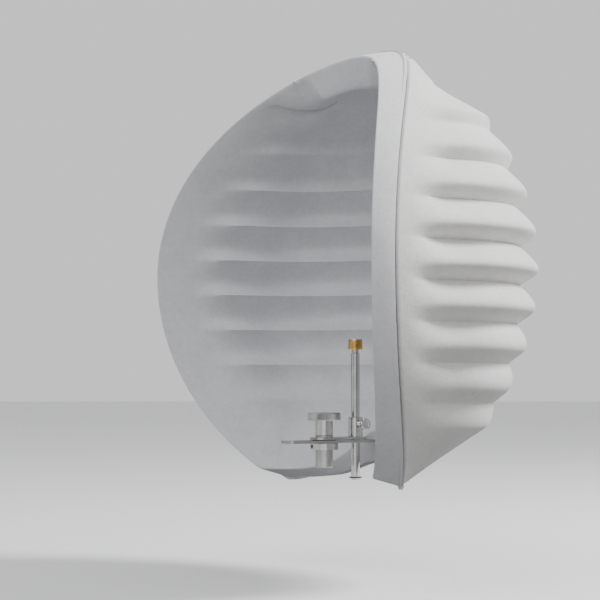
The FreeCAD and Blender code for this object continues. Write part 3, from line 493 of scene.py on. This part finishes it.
# ---------------------------------------------------------------- knurled and threaded pieces

EDGE_BREAK, SMALL_BREAK = 0.8, 0.5
KNURL_DEPTH, HEAD_KNURL_SHARE = 0.45, 0.7
DISC_TEETH, HEAD_TEETH = 84, 44
DISC_BORE, DISC_BORE_DEPTH = 7.0, 6.0
RECESS = 0.3                            # shallow dish in the top of a knob
DISC_RECESS = (0.72, 0.70)              # shares of the disc's radius
DISC_CENTRE = (0.16, 0.12)
HEAD_RECESS = (0.6, 0.55)
SHANK_RADIUS, HEAD_HEIGHT = 2.5, 4.0
SHANK_POINT = 0.4
SHANK_THREAD, SHANK_PITCH = 0.35, 0.8   # depth and pitch
SHANK_THREAD_START, SHANK_RELIEF = 0.6, 2.0
ADAPTER_BORE, ADAPTER_SIDES = 4.72, 72
ADAPTER_THREAD, ADAPTER_PITCH = 0.55, 0.94
ADAPTER_THREAD_START, ADAPTER_RELIEF = 0.4, 0.8
THREAD_CREST = (0.4, 0.6)               # where the crest lies in one pitch


def turned_piece(name, profile, sides):
    """A piece turned about the upright axis: a disc drawn through (radius, height) pairs."""
    bpy.ops.object.select_all(action="DESELECT")
    radius, height = profile[0]
    bpy.ops.mesh.primitive_circle_add(vertices=sides, radius=radius * MM, fill_type="NGON",
                                      location=(0, 0, height * MM))
    piece = new_from_active(name)
    place_in_mesh(piece)
    bpy.ops.object.mode_set(mode="EDIT")
    bpy.ops.mesh.select_all(action="SELECT")
    for next_radius, next_height in profile[1:]:
        rise = (0, 0, (next_height - height) * MM)
        bpy.ops.mesh.extrude_edges_move(TRANSFORM_OT_translate={"value": rise})
        share = next_radius / radius
        bpy.ops.transform.resize(value=(share, share, 1),
                                 center_override=(0, 0, next_height * MM))
        radius, height = next_radius, next_height
    bpy.ops.mesh.edge_face_add()
    bpy.ops.mesh.select_all(action="SELECT")
    bpy.ops.mesh.normals_make_consistent(inside=False)
    bpy.ops.object.mode_set(mode="OBJECT")
    return piece


def cut_teeth(piece, radius, sides, depth):
    """Press every other line of the rim in, so that it becomes a straight knurl."""
    only(piece)
    bpy.ops.object.mode_set(mode="EDIT")
    bpy.ops.mesh.select_all(action="DESELECT")
    bpy.ops.object.mode_set(mode="OBJECT")
    for vertex in piece.data.vertices:
        x, y, _z = vertex.co
        line = round(math.atan2(y, x) / math.tau * sides)
        on_rim = math.hypot(x, y) > (radius - depth) * MM
        vertex.select = on_rim and line % 2 == 1
    bpy.ops.object.mode_set(mode="EDIT")
    share = 1 - depth / radius
    bpy.ops.transform.resize(value=(share, share, 1), center_override=(0, 0, 0))
    bpy.ops.object.mode_set(mode="OBJECT")


def set_up(piece, place, turn=(0.0, 0.0, 0.0)):
    piece.rotation_euler = turn
    piece.location = place
    place_in_mesh(piece)
    shade(piece, KNURL_SMOOTH)


def make_knurled_disc():
    low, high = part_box("clamp_disc")
    outer, tall = (high[0] - low[0]) / 2 / MM, (high[2] - low[2]) / MM
    dish = tall - RECESS
    profile = [(DISC_BORE, DISC_BORE_DEPTH), (DISC_BORE, 0), (outer - EDGE_BREAK, 0),
               (outer, EDGE_BREAK), (outer, tall - EDGE_BREAK), (outer - EDGE_BREAK, tall),
               (outer * DISC_RECESS[0], tall), (outer * DISC_RECESS[1], dish),
               (outer * DISC_CENTRE[0], dish), (outer * DISC_CENTRE[1], tall - EDGE_BREAK)]
    disc = turned_piece("knurled_disc", profile, DISC_TEETH * 2)
    cut_teeth(disc, outer, DISC_TEETH * 2, KNURL_DEPTH)
    set_up(disc, ((low[0] + high[0]) / 2, (low[1] + high[1]) / 2, low[2]))
    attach(disc, "clamp_knob")
    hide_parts("clamp_disc")
    return disc


def make_knurled_screw():
    low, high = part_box("thumbscrew")
    outer, long = (high[2] - low[2]) / 2 / MM, (high[0] - low[0]) / MM
    under = long - HEAD_HEIGHT
    profile = [(SHANK_RADIUS - SHANK_POINT, 0), (SHANK_RADIUS, SHANK_POINT)]
    for turn in range(int((under - SHANK_RELIEF) / SHANK_PITCH)):
        start = SHANK_THREAD_START + turn * SHANK_PITCH
        profile += [(SHANK_RADIUS, start), (SHANK_RADIUS - SHANK_THREAD, start + SHANK_PITCH / 2)]
    profile += [(SHANK_RADIUS, under - SHANK_THREAD_START), (SHANK_RADIUS, under),
                (outer - SMALL_BREAK, under), (outer, under + SMALL_BREAK),
                (outer, long - EDGE_BREAK), (outer - EDGE_BREAK, long),
                (outer * HEAD_RECESS[0], long), (outer * HEAD_RECESS[1], long - RECESS)]
    screw = turned_piece("knurled_thumbscrew", profile, HEAD_TEETH * 2)
    cut_teeth(screw, outer, HEAD_TEETH * 2, KNURL_DEPTH * HEAD_KNURL_SHARE)
    set_up(screw, (low[0], (low[1] + high[1]) / 2, (low[2] + high[2]) / 2),
           (0.0, math.radians(90), 0.0))
    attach(screw, "thumb_knob")
    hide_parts("thumbscrew")
    return screw


def make_threaded_adapter():
    low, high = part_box("mic_thread_adapter")
    outer, tall = (high[0] - low[0]) / 2 / MM, (high[2] - low[2]) / MM
    profile = [(ADAPTER_BORE, tall - 0.05), (ADAPTER_BORE, 0), (outer - 0.6, 0)]
    for turn in range(int((tall - ADAPTER_RELIEF) / ADAPTER_PITCH)):
        start = ADAPTER_THREAD_START + turn * ADAPTER_PITCH
        profile += [(outer - ADAPTER_THREAD, start),
                    (outer, start + ADAPTER_PITCH * THREAD_CREST[0]),
                    (outer, start + ADAPTER_PITCH * THREAD_CREST[1])]
    profile += [(outer - 0.6, tall - 0.2), (outer - 1.0, tall), (ADAPTER_BORE + 0.5, tall),
                (ADAPTER_BORE + 0.1, tall - 0.04)]
    adapter = turned_piece("threaded_adapter", profile, ADAPTER_SIDES)
    set_up(adapter, ((low[0] + high[0]) / 2, (low[1] + high[1]) / 2, low[2]))
    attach(adapter, "post")
    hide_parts("mic_thread_adapter")
    return adapter


knurled_disc = make_knurled_disc()
knurled_screw = make_knurled_screw()
threaded_adapter = make_threaded_adapter()

# ---------------------------------------------------------------- shared surface effects


def new_group(name, inputs, outputs):
    group = bpy.data.node_groups.new(name, "ShaderNodeTree")
    for label, value in inputs:
        socket = group.interface.new_socket(name=label, in_out="INPUT",
                                            socket_type="NodeSocketFloat")
        socket.default_value = value
    for label, kind in outputs:
        group.interface.new_socket(name=label, in_out="OUTPUT", socket_type=kind)
    enter = group.nodes.new("NodeGroupInput")
    leave = group.nodes.new("NodeGroupOutput")
    return group, enter, leave


def math_node(tree, operation, first, second, clamp=False):
    node = tree.nodes.new("ShaderNodeMath")
    node.operation = operation
    node.use_clamp = clamp
    for socket, value in zip(node.inputs, (first, second)):
        if isinstance(value, (int, float)):
            socket.default_value = value
        else:
            tree.links.new(value, socket)
    return node.outputs[0]


def object_coordinates(tree):
    return tree.nodes.new("ShaderNodeTexCoord").outputs["Object"]


def stretched(tree, scale):
    node = tree.nodes.new("ShaderNodeMapping")
    node.inputs["Scale"].default_value = scale
    tree.links.new(object_coordinates(tree), node.inputs["Vector"])
    return node.outputs["Vector"]


def noise(tree, vector, scale, detail=3.0, roughness=0.55, distortion=0.0):
    node = tree.nodes.new("ShaderNodeTexNoise")
    if isinstance(scale, (int, float)):
        node.inputs["Scale"].default_value = scale
    else:
        tree.links.new(scale, node.inputs["Scale"])
    node.inputs["Detail"].default_value = detail
    node.inputs["Roughness"].default_value = roughness
    node.inputs["Distortion"].default_value = distortion
    tree.links.new(vector, node.inputs["Vector"])
    return node.outputs["Fac"]


def fibre_group():
    """Needled felt: matted fibres, needle marks and slow uneven tone."""
    group, enter, leave = new_group(
        "needled_fibres", [("Size", 1.0)],
        [("Fibres", "NodeSocketFloat"), ("Marks", "NodeSocketFloat"),
         ("Mottle", "NodeSocketFloat"), ("Height", "NodeSocketFloat")])
    where = object_coordinates(group)
    strands = []
    for scale in ((1.0, 0.22, 1.0), (0.22, 1.0, 1.0), (1.0, 1.0, 0.25)):
        fine = noise(group, stretched(group, scale),
                     math_node(group, "MULTIPLY", enter.outputs["Size"], 1500.0),
                     detail=2.0, roughness=0.6, distortion=1.2)
        strands.append(fine)
    two = math_node(group, "MAXIMUM", strands[0], strands[1])
    fibres = math_node(group, "MAXIMUM", two, strands[2])
    marks = group.nodes.new("ShaderNodeTexVoronoi")
    marks.inputs["Randomness"].default_value = 1.0
    group.links.new(where, marks.inputs["Vector"])
    group.links.new(math_node(group, "MULTIPLY", enter.outputs["Size"], 420.0),
                    marks.inputs["Scale"])
    pits = math_node(group, "MULTIPLY", marks.outputs["Distance"], 1.6, clamp=True)
    broad = noise(group, where, 26.0, detail=4.0, roughness=0.6)
    clumps = noise(group, where, 160.0, detail=3.0)
    mottle = math_node(group, "ADD", math_node(group, "MULTIPLY", broad, 0.55),
                       math_node(group, "MULTIPLY", clumps, 0.45))
    height = math_node(group, "ADD", math_node(group, "MULTIPLY", fibres, 0.75),
                       math_node(group, "MULTIPLY", pits, 0.25))
    group.links.new(fibres, leave.inputs["Fibres"])
    group.links.new(pits, leave.inputs["Marks"])
    group.links.new(mottle, leave.inputs["Mottle"])
    group.links.new(height, leave.inputs["Height"])
    return group


def grain_group():
    """Turned or drawn metal: fine parallel lines, a few scratches and handling marks."""
    group, enter, leave = new_group(
        "metal_grain", [("Lines", 1.0)],
        [("Grain", "NodeSocketFloat"), ("Scratches", "NodeSocketFloat"),
         ("Smudge", "NodeSocketFloat")])
    where = object_coordinates(group)
    lines = noise(group, stretched(group, (0.04, 0.04, 1.0)),
                  math_node(group, "MULTIPLY", enter.outputs["Lines"], 4200.0),
                  detail=2.0, roughness=0.7)
    scratch = noise(group, stretched(group, (1.0, 0.08, 0.3)), 900.0, detail=1.0, distortion=2.0)
    thin = math_node(group, "GREATER_THAN", scratch, 0.68)
    smudge = noise(group, where, 55.0, detail=4.0, roughness=0.65)
    group.links.new(lines, leave.inputs["Grain"])
    group.links.new(thin, leave.inputs["Scratches"])
    group.links.new(smudge, leave.inputs["Smudge"])
    return group


fibres, grain = fibre_group(), grain_group()


def new_material(name):
    material = bpy.data.materials.new(name)
    material.use_nodes = True
    tree = material.node_tree
    return material, tree, tree.nodes["Principled BSDF"]


def placed_group(tree, group, **values):
    node = tree.nodes.new("ShaderNodeGroup")
    node.node_tree = group
    for label, value in values.items():
        node.inputs[label].default_value = value
    return node


def ramp(tree, factor, stops):
    node = tree.nodes.new("ShaderNodeValToRGB")
    elements = node.color_ramp.elements
    while len(elements) < len(stops):
        elements.new(0.5)
    for element, (position, colour) in zip(elements, stops):
        element.position = position
        element.color = tuple(colour) + (1.0,)
    tree.links.new(factor, node.inputs["Fac"])
    return node.outputs["Color"]


def bump(tree, height, strength, distance, before=None):
    node = tree.nodes.new("ShaderNodeBump")
    node.inputs["Strength"].default_value = strength
    node.inputs["Distance"].default_value = distance
    tree.links.new(height, node.inputs["Height"])
    if before is not None:
        tree.links.new(before, node.inputs["Normal"])
    return node.outputs["Normal"]


def mixed(tree, factor, first, second, mode="MIX"):
    node = tree.nodes.new("ShaderNodeMix")
    node.data_type = "RGBA"
    node.blend_type = mode
    if isinstance(factor, (int, float)):
        node.inputs["Factor"].default_value = factor
    else:
        tree.links.new(factor, node.inputs["Factor"])
    for label, value in (("A", first), ("B", second)):
        socket = [s for s in node.inputs if s.name == label and s.type == "RGBA"][0]
        if isinstance(value, tuple):
            socket.default_value = value + (1.0,)
        else:
            tree.links.new(value, socket)
    return [s for s in node.outputs if s.type == "RGBA"][0]


def felt_material(name, dark, light, shadow):
    material, tree, shader = new_material(name)
    felt = placed_group(tree, fibres, Size=1.0)
    tone = ramp(tree, felt.outputs["Mottle"], [(0.38, dark), (0.62, light)])
    strands = ramp(tree, felt.outputs["Fibres"],
                   [(0.42, shadow), (0.56, (1.0, 1.0, 1.0)), (0.75, (1.0, 1.0, 1.0))])
    colour = mixed(tree, 0.55, tone, strands, "MULTIPLY")
    tree.links.new(colour, shader.inputs["Base Color"])
    coarse = bump(tree, felt.outputs["Mottle"], 0.35, 0.0012)
    tree.links.new(bump(tree, felt.outputs["Height"], 0.7, 0.0006, coarse),
                   shader.inputs["Normal"])
    shader.inputs["Roughness"].default_value = 0.95
    shader.inputs["Specular IOR Level"].default_value = 0.15
    shader.inputs["Sheen Weight"].default_value = 0.25
    shader.inputs["Sheen Roughness"].default_value = 0.6
    return material


def metal_material(name, dark, light, rough_low, rough_high, lines=1.0, metallic=1.0):
    material, tree, shader = new_material(name)
    marks = placed_group(tree, grain, Lines=lines)
    tone = ramp(tree, marks.outputs["Smudge"], [(0.35, dark), (0.65, light)])
    worn = mixed(tree, marks.outputs["Scratches"], tone, tuple(0.85 * c for c in light))
    tree.links.new(worn, shader.inputs["Base Color"])
    spread = tree.nodes.new("ShaderNodeMapRange")
    spread.inputs["To Min"].default_value = rough_low
    spread.inputs["To Max"].default_value = rough_high
    blend_of_marks = math_node(tree, "ADD",
                               math_node(tree, "MULTIPLY", marks.outputs["Grain"], 0.5),
                               math_node(tree, "MULTIPLY", marks.outputs["Smudge"], 0.5))
    tree.links.new(blend_of_marks, spread.inputs["Value"])
    tree.links.new(spread.outputs["Result"], shader.inputs["Roughness"])
    tree.links.new(bump(tree, marks.outputs["Grain"], 0.25, 0.00006), shader.inputs["Normal"])
    shader.inputs["Metallic"].default_value = metallic
    return material


def plastic_material(name, dark, light, rough):
    material, tree, shader = new_material(name)
    where = object_coordinates(tree)
    speckle = noise(tree, where, 900.0, detail=3.0)
    cloud = noise(tree, where, 60.0, detail=3.0)
    tone = ramp(tree, cloud, [(0.35, dark), (0.65, light)])
    tree.links.new(mixed(tree, speckle, tone, tuple(0.8 * c for c in dark)),
                   shader.inputs["Base Color"])
    spread = tree.nodes.new("ShaderNodeMapRange")
    spread.inputs["To Min"].default_value = rough - 0.1
    spread.inputs["To Max"].default_value = rough + 0.1
    tree.links.new(cloud, spread.inputs["Value"])
    tree.links.new(spread.outputs["Result"], shader.inputs["Roughness"])
    tree.links.new(bump(tree, speckle, 0.3, 0.0001), shader.inputs["Normal"])
    return material


FINISHES = {
    "felt_outer": felt_material("outer_felt_finish", (0.79, 0.785, 0.77), (0.87, 0.865, 0.85),
                                (0.70, 0.695, 0.68)),
    # painted shade: the inner felt is the same felt as the outer, made darker and cooler to stand
    # in for the shade inside the bowl
    "felt_inner": felt_material("inner_felt_shaded_finish", (0.73, 0.735, 0.755),
                                (0.81, 0.815, 0.835), (0.66, 0.665, 0.685)),
    "bright_plate": metal_material("bright_plate_finish", (0.50, 0.495, 0.48),
                                   (0.62, 0.615, 0.60), 0.1, 0.24, 0.5),
    "satin_plate": metal_material("satin_plate_finish", (0.36, 0.355, 0.34),
                                  (0.48, 0.475, 0.46), 0.22, 0.4, 1.0),
    "screw_steel": metal_material("screw_steel_finish", (0.34, 0.34, 0.35),
                                  (0.48, 0.48, 0.48), 0.28, 0.5, 1.0),
    "brass": metal_material("brass_finish", (0.66, 0.48, 0.20), (0.80, 0.61, 0.30),
                            0.2, 0.38, 0.8),
    "black_oxide": metal_material("black_oxide_finish", (0.02, 0.02, 0.022),
                                  (0.05, 0.05, 0.055), 0.4, 0.6, 1.0, 0.6),
    "fibre": plastic_material("fibre_finish", (0.06, 0.05, 0.045), (0.11, 0.10, 0.09), 0.75),
    "block_plastic": plastic_material("block_finish", (0.035, 0.035, 0.038),
                                      (0.07, 0.07, 0.075), 0.55),
}


def give_finish(obj, finish):
    obj.data.materials.clear()
    obj.data.materials.append(finish)


give_finish(outer_felt, FINISHES["felt_outer"])
give_finish(inner_felt, FINISHES["felt_inner"])
for part in frame["record"]["subparts"]:
    give_finish(nodes[part["node"]], FINISHES[part["material_slot"]])
give_finish(knurled_disc, FINISHES["satin_plate"])
give_finish(knurled_screw, FINISHES["bright_plate"])
give_finish(threaded_adapter, FINISHES["brass"])

# ---------------------------------------------------------------- floor, lights and camera

FLOOR_Z, FLOOR_RADIUS, FLOOR_SIDES = -0.12, 14.0, 96
FLOOR_SEEN, FLOOR_BOUNCE = (0.93, 0.93, 0.93), (0.16, 0.16, 0.16)
ROOM_SEEN = (0.86, 0.86, 0.86)
WINDOW_SIDE = (0.45, -0.1, 0.2)      # direction in which the room is brightest
MIDDLE = (0.0, 0.05, 0.2)

bpy.ops.object.select_all(action="DESELECT")
bpy.ops.mesh.primitive_circle_add(vertices=FLOOR_SIDES, radius=FLOOR_RADIUS,
                                  fill_type="NGON", location=(0, 0, FLOOR_Z))
floor = new_from_active("studio_floor")
place_in_mesh(floor)
floor_finish, floor_tree, floor_shader = new_material("studio_floor_finish")
floor_path = floor_tree.nodes.new("ShaderNodeLightPath")
floor_tree.links.new(mixed(floor_tree, floor_path.outputs["Is Diffuse Ray"], FLOOR_SEEN,
                           FLOOR_BOUNCE), floor_shader.inputs["Base Color"])
floor_shader.inputs["Roughness"].default_value = 0.9
give_finish(floor, floor_finish)

world = bpy.data.worlds.new("studio")
world.use_nodes = True
sky = world.node_tree
sky_path = sky.nodes.new("ShaderNodeLightPath")
toward_window = sky.nodes.new("ShaderNodeVectorMath")
toward_window.operation = "DOT_PRODUCT"
toward_window.inputs[1].default_value = WINDOW_SIDE
sky.links.new(sky.nodes.new("ShaderNodeTexCoord").outputs["Generated"], toward_window.inputs[0])
side_of_room = math_node(sky, "ADD", toward_window.outputs["Value"], 0.5)
light_of_room = ramp(sky, side_of_room,
                     [(0.0, (0.30, 0.31, 0.33)), (0.35, (0.46, 0.47, 0.49)),
                      (0.55, (0.74, 0.75, 0.77)), (0.9, (1.0, 1.0, 1.0))])
panels = ramp(sky, side_of_room,
              [(0.0, (0.10, 0.10, 0.11)), (0.30, (0.06, 0.06, 0.07)),
               (0.40, (0.85, 0.86, 0.88)), (0.55, (0.95, 0.96, 0.98)),
               (0.64, (0.22, 0.22, 0.23)), (0.80, (0.25, 0.25, 0.26)),
               (0.88, (1.20, 1.20, 1.20))])
light_of_room = mixed(sky, sky_path.outputs["Is Glossy Ray"], light_of_room, panels)
sky.links.new(mixed(sky, sky_path.outputs["Is Camera Ray"], light_of_room, ROOM_SEEN),
              sky.nodes["Background"].inputs["Color"])
bpy.context.scene.world = world


def softbox(name, place, target, size, power):
    data = bpy.data.lights.new(name, "AREA")
    data.shape = "DISK"
    data.size = size
    data.energy = power
    light = bpy.data.objects.new(name, data)
    bpy.context.scene.collection.objects.link(light)
    light.location = place
    light.rotation_euler = (Vector(target) - Vector(place)).to_track_quat("-Z", "Y").to_euler()
    return light


softbox("key_light", (1.2, 1.9, 2.1), MIDDLE, 1.0, 120.0)
softbox("fill_light", (0.6, -1.6, 2.0), MIDDLE, 1.4, 12.0)

LENS = 115.2
CAMERA_PLACE = Vector((1.757, -1.044, 0.098))
LOOK_UP = math.radians(2.24)
camera_data = bpy.data.cameras.new("camera")
camera_data.lens = LENS
camera_data.sensor_width = 36.0
camera = bpy.data.objects.new("camera", camera_data)
bpy.context.scene.collection.objects.link(camera)
camera.location = CAMERA_PLACE
heading = Vector((-math.sin(math.radians(60)) * math.cos(LOOK_UP),
                  math.cos(math.radians(60)) * math.cos(LOOK_UP), math.sin(LOOK_UP)))
camera.rotation_euler = heading.to_track_quat("-Z", "Y").to_euler()
bpy.context.scene.camera = camera
